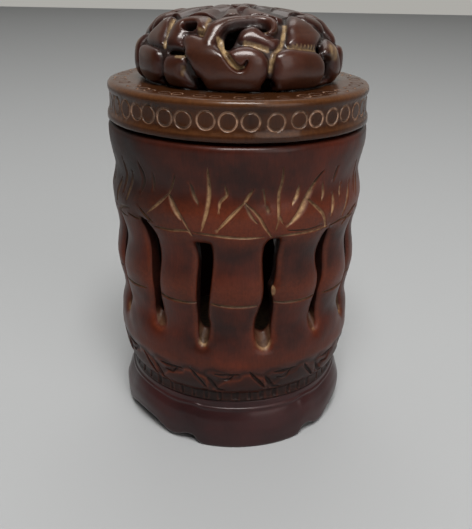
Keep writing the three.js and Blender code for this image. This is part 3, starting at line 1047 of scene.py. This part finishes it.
# The band that arches over the largest hole, as its points and its half widths
ARCH = (
    [(-17, 16.4), (-16.2, 19.4), (-14.6, 22.6), (-10.5, 25.2), (-4.8, 26.7), (2.8, 27.6), (12, 28.2),
     (19.5, 27.6), (22.9, 25.4), (22.8, 22.8), (20.6, 20.9), (17.4, 20)],
    [2.2, 2.6, 2.7, 2.3, 2.0, 1.8, 1.9, 1.8, 1.6, 1.5, 1.2, 0.8],
)
HOLES = [
    [(-7.5, 15.9), (-8.6, 19.9), (-6.6, 22.2), (-1.5, 24.4), (4, 25.2), (6, 24.6), (1.4, 22.6),
     (-1.6, 19.6), (-3.9, 16.4)],
    [(-41, 11.8), (-41, 13.6), (-35.4, 14.2), (-29.6, 13.6), (-29.2, 12.2), (-34.1, 11.8)],
    [(-38, 21.2), (-38.8, 23.4), (-33, 24.4), (-28.6, 23.6), (-28, 21.6), (-33, 20.9)],
    [(53.2, 8.8), (57.8, 8.6), (58.9, 5), (58.7, 1.2), (54.2, 1.2), (53, 5)],
    [(53.4, 16.2), (55.6, 15.6), (50.4, 12.8), (48.4, 13.6)],
    [(13.6, 23.6), (16, 22.4), (18.6, 22.8), (18.2, 24.8), (14.6, 25)],
]
# Round holes at the dome's foot: (degrees, distance up, radius)
DRILLED = [(-20.8, 1.3, 2.1), (15.8, 1.5, 2.3), (-45, 1.0, 1.5)]
# Grooves between the lobes: (points, half width or widths, depth)
GROOVES = [
    ([(-10.6, 17.6), (-8.8, 15.2), (-6.6, 12.8), (-3.4, 9.9), (-0.2, 8.2), (2.4, 8.4), (4.2, 10.2)],
     [1.1, 1.05, 1.0, 0.95, 0.85, 0.65, 0.4], 2.3),
    ([(-56.5, 25.7), (-52, 22.6), (-47.8, 18.6), (-44.8, 14.4)], 0.8, 2.4),
    ([(32.4, 24.6), (26.6, 18.6), (22.8, 15.6), (19.4, 14), (17, 9.7), (16.5, 5.7), (15.9, 2)], 0.6, 2.3),
    ([(28.4, 15.6), (36, 14.9), (43, 14.2), (48, 13.9)], 0.5, 2.0),
    ([(-20.4, 3), (-24.6, 7.4), (-28.2, 11)], 0.7, 2.4),
]
# Where old polish and bare wood show pale: (points, half width or widths, strength)
PALE_LINES = [
    ([(-10.9, 18), (-8.6, 15), (-6.6, 12.8), (-3.4, 9.9), (-0.2, 8.3), (2.4, 8.6)],
     [1.0, 0.95, 0.9, 0.8, 0.6, 0.4], 0.85),
    ([(-56.5, 25.7), (-52, 22.6), (-47.8, 18.6), (-45, 14.6)], 0.6, 0.7),
    ([(33.2, 25), (30, 21.4), (26.6, 18.4), (22.8, 15.6), (18.6, 13.4), (17, 9.7), (16.7, 7)], 0.65, 0.7),
    ([(3.6, 17.2), (7.7, 16.8), (11.4, 16.1), (15.5, 15)], 0.6, 0.75),
    ([(22.4, 22), (20.4, 21), (17.4, 20.6)], 0.8, 0.7),
    ([(-33.3, 11.3), (-29.4, 11.2)], 0.9, 0.6),
    ([(-29, 7.6), (-29.5, 5.2)], 0.5, 0.3),
    ([(-24.6, 26.4), (-24, 23.6), (-23, 21.2)], 1.6, 0.6),
    ([(30, 15.6), (38, 14.9), (47, 14)], 0.5, 0.4),
]
# A row of small gouges along the top of one lobe
GOUGES = [
    [(at, 14.4), (at + 0.6, 15.7 + 0.4 * math.sin(at * 5))] for at in np.arange(28.0, 47.0, 2.6)
]
PALE_FACE = [(53.6, 12.6), (55.4, 14.6), (63, 15.4), (67.6, 12.4), (66, 8.8), (60, 8.4), (57.6, 9.8)]


def between_cells(table, across, up):
    """A table's values at places between its cells. Across may run on round past the table's end."""
    i, j = np.floor(across).astype(int), np.floor(up).astype(int)
    s, t = across - i, up - j
    i, after = i % len(table), (i + 1) % len(table)
    return ((1 - s) * (1 - t) * table[i, j] + s * (1 - t) * table[after, j]
            + (1 - s) * t * table[i, j + 1] + s * t * table[after, j + 1])


class DomeChart:
    """The dome's carving on a grid of angle and distance up from its foot."""

    STEP_DEGREES, STEP_UP = 0.4, 0.25
    WINDOW = 34.0                    # no mark reaches further than this many degrees from its middle

    def __init__(self):
        self.length = lengths_along(DOME_OUTLINE)
        self.degrees = np.arange(FRONT_FROM, FRONT_FROM + 360, self.STEP_DEGREES)
        self.up = np.arange(0, self.length[-1], self.STEP_UP)
        radius = np.interp(self.up, self.length, DOME_OUTLINE[:, 0])
        self.per_degree = np.maximum(radius, 4) * math.pi / 180
        shape = (len(self.degrees), len(self.up))
        self.relief = np.full(shape, -DOME_GROUND)
        self.hole = np.full(shape, -9.0)
        self.pale = np.zeros(shape)
        self.face = np.zeros(shape)
        front = FRONT_TO - FRONT_FROM
        squeeze = (360 - front) / BACK_COPIES / front
        self.carve(lambda degrees: degrees)
        for copy in range(BACK_COPIES):
            start = FRONT_TO + copy * front * squeeze
            self.carve(lambda degrees, start=start: start + (degrees - FRONT_FROM) * squeeze)
        self.crown_of_dome()
        self.relief = np.maximum(self.relief, -0.7 - 2.5 * ease((self.up - 0.6) / 0.9))

    def window(self, points):
        """(grid columns near a mark, their places in mm, the mark in the same flat millimetres)"""
        points = np.asarray(points, float)
        middle = points[:, 0].mean()
        away = (self.degrees - middle + 180) % 360 - 180
        columns = np.flatnonzero(np.abs(away) < self.WINDOW)
        x = away[columns, None] * self.per_degree
        places = np.stack([x, np.broadcast_to(self.up, x.shape)], -1).reshape(-1, 2)
        scale = np.interp(points[:, 1], self.up, self.per_degree)
        flat = np.column_stack([(points[:, 0] - middle) * scale, points[:, 1]])
        return columns, places, flat

    def inside(self, points):
        columns, places, flat = self.window(points)
        line = curve_through(flat, 4, closed=True)
        return columns, inside_distance(places, line).reshape(len(columns), -1)

    def across(self, points, halves):
        """Distance from a line as a share of its half width, which may change along it."""
        columns, places, flat = self.window(points)
        path = curve_through(np.column_stack([flat, np.broadcast_to(halves, len(flat))]), 5)
        best = np.full(len(places), 9.0)
        for a, b in zip(path, path[1:]):
            d = b[:2] - a[:2]
            t = np.clip((places - a[:2]) @ d / (d @ d), 0, 1)
            away = np.linalg.norm(places - (a[:2] + t[:, None] * d), axis=1)
            best = np.minimum(best, away / (a[2] + t * (b[2] - a[2])))
        return columns, best.reshape(len(columns), -1)

    def carve(self, turn):
        """Carves the front's marks once, with their degrees changed by turn."""
        def at(points):
            return [(turn(degrees), up) for degrees, up in points]

        for index, outline in enumerate(LOBES):
            resting = [(degrees, up - 3 if up < 2.3 else up) for degrees, up in outline]
            columns, inside = self.inside(at(resting))
            shoulder = np.clip((inside + 0.25) / LOBE_SHOULDER, 0, 1)
            pillow = np.sqrt(np.clip(1 - (1 - shoulder) ** 2, 0, 1))
            crown = (0.35 + 0.12 * math.sin(index * 2.4)) * (1 - np.exp(-np.clip(inside, 0, None) / 5))
            lobe = -DOME_GROUND + (DOME_GROUND - 0.25) * pillow + crown
            raise_to(self.relief, columns, lobe)
        columns, share = self.across(at(ARCH[0]), ARCH[1])
        band = np.sqrt(np.clip(1 - share**2, 0, 1))
        band = -DOME_GROUND + (DOME_GROUND + 0.2) * band**0.8
        raise_to(self.relief, columns, band)
        for path, half, depth in GROOVES + [(gouge, 0.4, 0.9) for gouge in GOUGES]:
            columns, share = self.across(at(path), half)
            floor = -depth * np.clip(1.3 - share, 0, 1) + 0.5 * np.clip(share - 1, 0, 9)
            self.relief[columns] = np.minimum(self.relief[columns], floor)
        for path, half, strength in PALE_LINES + [(gouge, 0.35, 0.55) for gouge in GOUGES]:
            columns, share = self.across(at(path), half)
            raise_to(self.pale, columns, strength * ease((1.25 - share) * 2))
        columns, inside = self.inside(at(PALE_FACE))
        raise_to(self.face, columns, 0.45 * ease(inside / 1.6))
        for outline in HOLES:
            columns, inside = self.inside(at(outline))
            raise_to(self.hole, columns, inside)
        for degrees, up, radius in DRILLED:
            columns, places, flat = self.window(at([(degrees, up)]))
            away = np.linalg.norm(places - flat[0], axis=1).reshape(len(columns), -1)
            raise_to(self.hole, columns, radius - away)

    def crown_of_dome(self):
        """The top: a low button, curls turning round it, and a ring of lumps that reaches the lobes."""
        turn = np.radians(self.degrees[:, None])
        from_pole = self.length[-1] - np.broadcast_to(self.up, self.relief.shape)
        wavy = from_pole + 0.8 * np.sin(3 * turn + 1) + 0.5 * np.sin(7 * turn)
        swung = turn + 0.16 * np.sin(2 * turn + 0.7) + 0.08 * np.sin(5 * turn)
        curls = self.swirl(swung, from_pole, CROWN_CURLS, 0.20)
        lumps = self.swirl(swung, from_pole, CROWN_LUMPS, -0.11)
        lumps = lumps - 1.2 * ease((from_pole - CROWN_EDGE + 1.6) / 1.6)
        button = -0.1 - 0.35 * (from_pole / 4) ** 2
        middle = np.where(from_pole < BUTTON_EDGE, button, np.where(wavy < CURLS_EDGE, curls, lumps))
        for away in (from_pole - BUTTON_EDGE - 0.2, wavy - CURLS_EDGE):
            middle = np.minimum(middle, -1.8 + 1.3 * np.abs(away) ** 1.2)
        # The lumps stop short of the lobes, with a crease round each lobe
        covered = self.relief > 0.3 - DOME_GROUND
        for _ in range(4):
            for axis in (0, 1):
                covered = covered | np.roll(covered, 1, axis) | np.roll(covered, -1, axis)
        free = ~covered | (from_pole < 20)
        self.relief = np.where(free & (from_pole < CROWN_EDGE), middle, self.relief)

    @staticmethod
    def swirl(turn, from_pole, count, twist):
        """Rounded curls parted by creases that turn as they go out."""
        crease = turn * count + from_pole * twist
        return -0.25 - 1.5 * np.abs(np.cos(crease / 2)) ** 3.5 + 0.2 * np.sin(2.3 * turn + 1)

    def sample(self, table, degrees, up):
        across = ((degrees - FRONT_FROM) % 360) / self.STEP_DEGREES
        return between_cells(table, across, np.clip(up / self.STEP_UP, 0, len(self.up) - 1.001))


class DomeSection:
    """Tables of radius and height for the dome's outline: the distance out of it and the distance up it."""

    STEP = 0.3
    LOW, HIGH, WIDE = DOME_BOTTOM - 2, 154, 38.2

    def __init__(self):
        self.radius = np.arange(0, self.WIDE, self.STEP)
        self.height = np.arange(self.LOW, self.HIGH, self.STEP)
        line = evenly(DOME_OUTLINE, 0.15)
        tangent = np.gradient(line, axis=0)
        normal = np.column_stack([tangent[:, 1], -tangent[:, 0]])
        normal /= np.linalg.norm(normal, axis=1)[:, None]
        grid = np.stack(np.meshgrid(self.radius, self.height, indexing="ij"), -1).reshape(-1, 1, 2)
        away = grid - line
        nearest = np.argmin((away**2).sum(2), axis=1)
        offset = away[np.arange(len(nearest)), nearest]
        distance = np.linalg.norm(offset, axis=1) * np.sign((offset * normal[nearest]).sum(1))
        shape = (len(self.radius), len(self.height))
        self.out = distance.reshape(shape)
        self.up = lengths_along(line)[nearest].reshape(shape)

    def sample(self, radius, height):
        """(distance out of the outline, distance up it) at each place"""
        across = np.clip((radius - self.radius[0]) / self.STEP, 0, len(self.radius) - 1.001)
        up = np.clip((height - self.height[0]) / self.STEP, 0, len(self.height) - 1.001)
        return between_cells(self.out, across, up), between_cells(self.up, across, up)


def soft_max(a, b, reach):
    """The larger of two fields, with the crease between them rounded over that reach."""
    mix = np.clip(0.5 + 0.5 * (a - b) / reach, 0, 1)
    return b * (1 - mix) + a * mix + reach * mix * (1 - mix)


def lid_dome(material):
    chart, section = DomeChart(), DomeSection()
    x = np.arange(-37.4, 37.4, VOXEL)
    z = np.arange(DOME_BOTTOM - 1.3, 153, VOXEL)
    gx, gy, gz = np.meshgrid(x, x, z, indexing="ij")
    degrees = np.degrees(np.arctan2(gx, -gy))
    out, up = section.sample(np.hypot(gx, gy), gz)
    carved = chart.sample(chart.relief, degrees, up)
    uneven = 0.10 * ripple(np.stack([gx.ravel(), gy.ravel(), gz.ravel()], 1), 9, 51).reshape(gx.shape)
    field = soft_max(out - carved - uneven, -(out + DOME_WALL), 0.8)
    field = soft_max(field, chart.sample(chart.hole, degrees, up), 0.9)
    field = np.maximum(field, DOME_BOTTOM - gz)
    grid = openvdb.FloatGrid(9.0)
    grid.copyFromArray(field.astype(np.float32))
    points, quads = grid.convertToQuads(isovalue=0.0)
    points = points * VOXEL + [x[0], x[0], z[0]]
    mesh = bpy.data.meshes.new("lid_dome_openwork")
    mesh.from_pydata((points * MM).tolist(), [], quads.tolist())
    obj = placed(mesh, material)
    keep_biggest(obj)
    relax(obj, 2)
    dome_finish(obj.data, chart, section)
    return obj


def dome_finish(mesh, chart, section):
    """Paints the dome's points: pale lines, one pale face, rubbed tops, and dirt with painted shade in the
    depths.
    """
    co = mesh_points(mesh) / MM
    degrees = np.degrees(np.arctan2(co[:, 0], -co[:, 1]))
    out, up = section.sample(np.hypot(co[:, 0], co[:, 1]), co[:, 2])
    below = -out
    pale = chart.sample(chart.pale, degrees, up) * ease((below - 0.35) / 0.5) * (below < DOME_WALL - 0.8)
    face = chart.sample(chart.face, degrees, up) * (below < 1.5)
    face *= 0.6 + 0.6 * np.clip(ripple(co * [1, 1, 0.3], 1.6, 61), -0.5, 1)
    tint(mesh, "bare", np.maximum(pale, face))
    tint(mesh, "worn", 1 - ease(below / 0.9))
    tint(mesh, "grime", 0.85 * ease((below - 1.0) / 1.1) * (1 - pale))


def mesh_points(mesh):
    flat = np.empty(len(mesh.vertices) * 3)
    mesh.vertices.foreach_get("co", flat)
    return flat.reshape(-1, 3)


def relax(obj, rounds):
    """Takes the steps of the grid out of a mesh."""
    smooth = obj.modifiers.new("relax", "SMOOTH")
    smooth.factor, smooth.iterations = 0.5, rounds
    apply_modifiers(obj)


def apply_modifiers(obj):
    view = bpy.context.evaluated_depsgraph_get()
    made = bpy.data.meshes.new_from_object(obj.evaluated_get(view))
    obj.modifiers.clear()
    old, obj.data = obj.data, made
    made.name = obj.name
    bpy.data.meshes.remove(old)


def keep_biggest(obj):
    """Removes specks that the carving cut loose."""
    sheet = bmesh.new()
    sheet.from_mesh(obj.data)
    sheet.verts.ensure_lookup_table()
    group = np.full(len(sheet.verts), -1)
    sizes = []
    for first in sheet.verts:
        if group[first.index] >= 0:
            continue
        stack, size = [first], 0
        group[first.index] = len(sizes)
        while stack:
            vertex = stack.pop()
            size += 1
            for edge in vertex.link_edges:
                other = edge.other_vert(vertex)
                if group[other.index] < 0:
                    group[other.index] = len(sizes)
                    stack.append(other)
        sizes.append(size)
    best = int(np.argmax(sizes))
    loose = [v for v in sheet.verts if group[v.index] != best]
    bmesh.ops.delete(sheet, geom=loose, context="VERTS")
    sheet.to_mesh(obj.data)
    sheet.free()


# ---------------------------------------------------------------- finishes

def linear(hex_colour):
    """An sRGB hex colour as a linear colour with alpha."""
    channels = [int(hex_colour[i:i + 2], 16) / 255 for i in (1, 3, 5)]
    return [c / 12.92 if c <= 0.04045 else ((c + 0.055) / 1.055) ** 2.4 for c in channels] + [1.0]


def add(tree, kind, settings=None, **links):
    """Adds a node, sets its fields, and links or fills its inputs, by name or by number as in i0. A node
    given as a value is linked by its first live output."""
    node = tree.nodes.new(kind)
    for field, value in (settings or {}).items():
        setattr(node, field, value)
    for label, value in links.items():
        numbered = label[0] == "i" and label[1:].isdigit()
        socket = node.inputs[int(label[1:]) if numbered else label.replace("_", " ")]
        if isinstance(value, bpy.types.Node):
            value = next(output for output in value.outputs if output.enabled)
        if isinstance(value, bpy.types.NodeSocket):
            tree.links.new(value, socket)
        else:
            socket.default_value = value
    return node


def stained_wood(name, deep, warm, rubbed_and_sheen, bare, roughness, coat, shine=0.5, grain=0.2, worn_share=1.0):
    """Wood or bamboo stained red-brown and waxed: redder where the stain is thin, rubbed at its edges and
    lighter where a highlight is painted, dark where dirt lies and where shade is painted, and pale where a
    tool went through the stain."""
    material = bpy.data.materials.new(name)
    material.use_nodes = True
    tree = material.node_tree
    shader = tree.nodes["Principled BSDF"]
    place = add(tree, "ShaderNodeTexCoord").outputs["Object"]
    along_fibre = add(tree, "ShaderNodeMapping", Vector=place, Scale=(1.0, 1.0, 0.10))
    # Patches of stain about 20 mm across, fibres about 0.7 mm apart that run up the wall, and fine specks
    patches = add(tree, "ShaderNodeTexNoise", Vector=place, Scale=48.0, Detail=4.0, Roughness=0.6)
    fibres = add(tree, "ShaderNodeTexNoise", Vector=along_fibre, Scale=1500.0, Detail=4.0, Roughness=0.65)
    specks = add(tree, "ShaderNodeTexNoise", Vector=place, Scale=900.0, Detail=3.0, Roughness=0.7)
    crumbs = add(tree, "ShaderNodeTexNoise", Vector=place, Scale=520.0, Detail=3.0, Roughness=0.6)
    thin = add(tree, "ShaderNodeMapRange", Value=patches, From_Min=0.36, From_Max=0.66)
    stain = add(tree, "ShaderNodeMix", {"data_type": "RGBA"}, i0=thin, i6=linear(deep), i7=linear(warm))
    shade = add(tree, "ShaderNodeMapRange", Value=fibres, From_Min=0.35, From_Max=0.7, To_Min=1 - grain,
                To_Max=1 + 0.6 * grain)
    colour = add(tree, "ShaderNodeVectorMath", {"operation": "SCALE"}, i0=stain, Scale=shade)
    # Each finish painted on the points, broken up by its pattern: (pattern, low, high, least, most, paint)
    # The rubbed colour paints wear and painted highlights, and the near-black paints dirt and painted shade
    layers = {
        "worn": (specks, 0.38, 0.62, 0.55 * worn_share, worn_share, rubbed_and_sheen),
        "grime": (crumbs, 0.20, 0.50, 0.5, 0.85, "#120906"),
        "bare": (crumbs, 0.30, 0.62, 0.25, 1.0, bare),
    }
    amount = {}
    for label, (pattern, low, high, least, most, paint) in layers.items():
        broken = add(tree, "ShaderNodeMapRange", Value=pattern, From_Min=low, From_Max=high, To_Min=least,
                     To_Max=most)
        painted = add(tree, "ShaderNodeAttribute", {"attribute_name": label}).outputs["Fac"]
        amount[label] = add(tree, "ShaderNodeMath", {"operation": "MULTIPLY", "use_clamp": True}, i0=painted,
                            i1=broken)
        colour = add(tree, "ShaderNodeMix", {"data_type": "RGBA"}, i0=amount[label], i6=colour,
                     i7=linear(paint))
    tree.links.new(colour.outputs[2], shader.inputs["Base Color"])
    gloss = add(tree, "ShaderNodeMapRange", Value=patches, From_Min=0.3, From_Max=0.7,
                To_Min=roughness - 0.05, To_Max=roughness + 0.09)
    gloss = add(tree, "ShaderNodeMath", {"operation": "MULTIPLY_ADD"}, i0=amount["bare"], i1=0.35, i2=gloss)
    gloss = add(tree, "ShaderNodeMath", {"operation": "MULTIPLY_ADD"}, i0=amount["grime"], i1=0.2, i2=gloss)
    tree.links.new(gloss.outputs[0], shader.inputs["Roughness"])
    height = add(tree, "ShaderNodeMath", {"operation": "MULTIPLY_ADD"}, i0=fibres, i1=0.6, i2=specks)
    bump = add(tree, "ShaderNodeBump", Height=height, Strength=0.2 * min(1, grain * 5), Distance=0.0002)
    tree.links.new(bump.outputs["Normal"], shader.inputs["Normal"])
    shader.inputs["Coat Weight"].default_value = coat
    shader.inputs["Coat Roughness"].default_value = 0.16
    shader.inputs["Specular IOR Level"].default_value = shine
    shader.inputs["IOR"].default_value = 1.48
    return material


# Culm wall stained with red-brown dye and waxed: satin, with the light brown straw showing in the cuts
stained_bamboo = stained_wood("stained_waxed_bamboo", "#2e1510", "#552212", "#7c3b1e", "#ac8d69", 0.36, 0.15,
                              shine=0.3)
# The lid's ring took less stain: a milky brown
lid_bamboo = stained_wood("lid_bamboo_light_stain", "#321b0e", "#462612", "#694426", "#c7a48c", 0.27, 0.35,
                          shine=0.2)
# The dome is handled most: polished, with dust and old polish in its crevices
polished_wood = stained_wood("polished_carved_wood", "#28120d", "#431d13", "#593521", "#b59a70", 0.29, 0.3,
                             grain=0.06, worn_share=0.4)
# The foot took the stain darkest
foot_wood = stained_wood("foot_wood_maroon_stain", "#2a1415", "#3c1b1b", "#562c26", "#a08466", 0.34, 0.2,
                         shine=0.4, grain=0.1)
# Where nobody looks the wood was only wiped with stain
raw_bamboo = stained_wood("wiped_bamboo", "#3a2417", "#553824", "#6a482f", "#8f7350", 0.6, 0.0)


# ---------------------------------------------------------------- camera, floor and light

def camera():
    data = bpy.data.cameras.new("front_camera")
    data.lens = 44.2
    data.clip_start = 0.01
    view = in_scene("front_camera", data)
    tip, roll = 0.422, 0.019
    view.location = (0.0004, -0.2364, 0.1611)
    view.rotation_mode = "XYZ"
    turn = Matrix.Rotation(math.pi / 2 - tip, 4, "X") @ Matrix.Rotation(roll, 4, "Z")
    view.rotation_euler = turn.to_euler()
    bpy.context.scene.camera = view


def plain_material(name, colour, roughness):
    material = bpy.data.materials.new(name)
    material.use_nodes = True
    shader = material.node_tree.nodes["Principled BSDF"]
    shader.inputs["Base Color"].default_value = linear(colour)
    shader.inputs["Roughness"].default_value = roughness
    return material


def table():
    mesh = bpy.data.meshes.new("table")
    half = 3.0
    corners = [(-half, -half, 0), (half, -half, 0), (half, half, 0), (-half, half, 0)]
    mesh.from_pydata(corners, [], [(0, 1, 2, 3)])
    mesh.materials.append(plain_material("pale_cloth", "#b1b3b5", 0.9))
    in_scene("table", mesh)


def soft_light(name, place, aim, size, power, colour):
    data = bpy.data.lights.new(name, "AREA")
    data.shape, data.size, data.energy, data.color = "SQUARE", size, power, colour
    light = in_scene(name, data)
    light.location = place
    light.rotation_euler = (Vector(aim) - Vector(place)).to_track_quat("-Z", "Y").to_euler()


def surroundings():
    """A pale room: bright beyond the pot, dim on the viewer's side, so that the stain keeps its colour."""
    world = bpy.data.worlds.new("pale_room")
    world.use_nodes = True
    tree = world.node_tree
    back = tree.nodes["Background"]
    back.inputs["Color"].default_value = linear("#e8e6e0")
    toward = add(tree, "ShaderNodeTexCoord").outputs["Generated"]
    depth = add(tree, "ShaderNodeSeparateXYZ", Vector=toward).outputs["Y"]
    strength = add(tree, "ShaderNodeMapRange", Value=depth, From_Min=-0.15, From_Max=0.6, To_Min=0.09,
                   To_Max=0.56)
    tree.links.new(strength.outputs["Result"], back.inputs["Strength"])
    bpy.context.scene.world = world
    soft_light("ceiling", (0.05, -0.75, 1.5), (0, 0, 0.08), 0.7, 27.0, (1, 0.985, 0.96))
    soft_light("front_window", (0.75, -1.0, 0.6), (0, 0, 0.06), 0.9, 4.8, (1, 0.97, 0.95))
    soft_light("far_window", (0, 1.7, 2.6), (0, 1.2, 0), 1.6, 14.0, (1, 0.99, 0.97))
    bpy.context.scene.view_settings.view_transform = "Standard"
    bpy.context.scene.view_settings.gamma = 0.9


camera()
table()
surroundings()

# ---------------------------------------------------------------- the pieces on their bodies

TURNING = turning_tree()
PIECES = [
    (pot_wall(stained_bamboo), "pot", "pot_wall", "stained_bamboo"),
    (foot_ring(foot_wood), "pot", "foot_ring", "foot_wood"),
    (floor_disc(raw_bamboo), "pot", "floor_disc", "raw_bamboo"),
    (lid_ring(lid_bamboo), "lid", "lid_ring", "lid_bamboo"),
    (lid_spigot(raw_bamboo), "lid", "lid_spigot", "raw_bamboo"),
    (lid_dome(polished_wood), "lid", "lid_dome", "dome_wood"),
]
for piece, body, node, slot in PIECES:
    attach(piece, body)
    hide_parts(node)
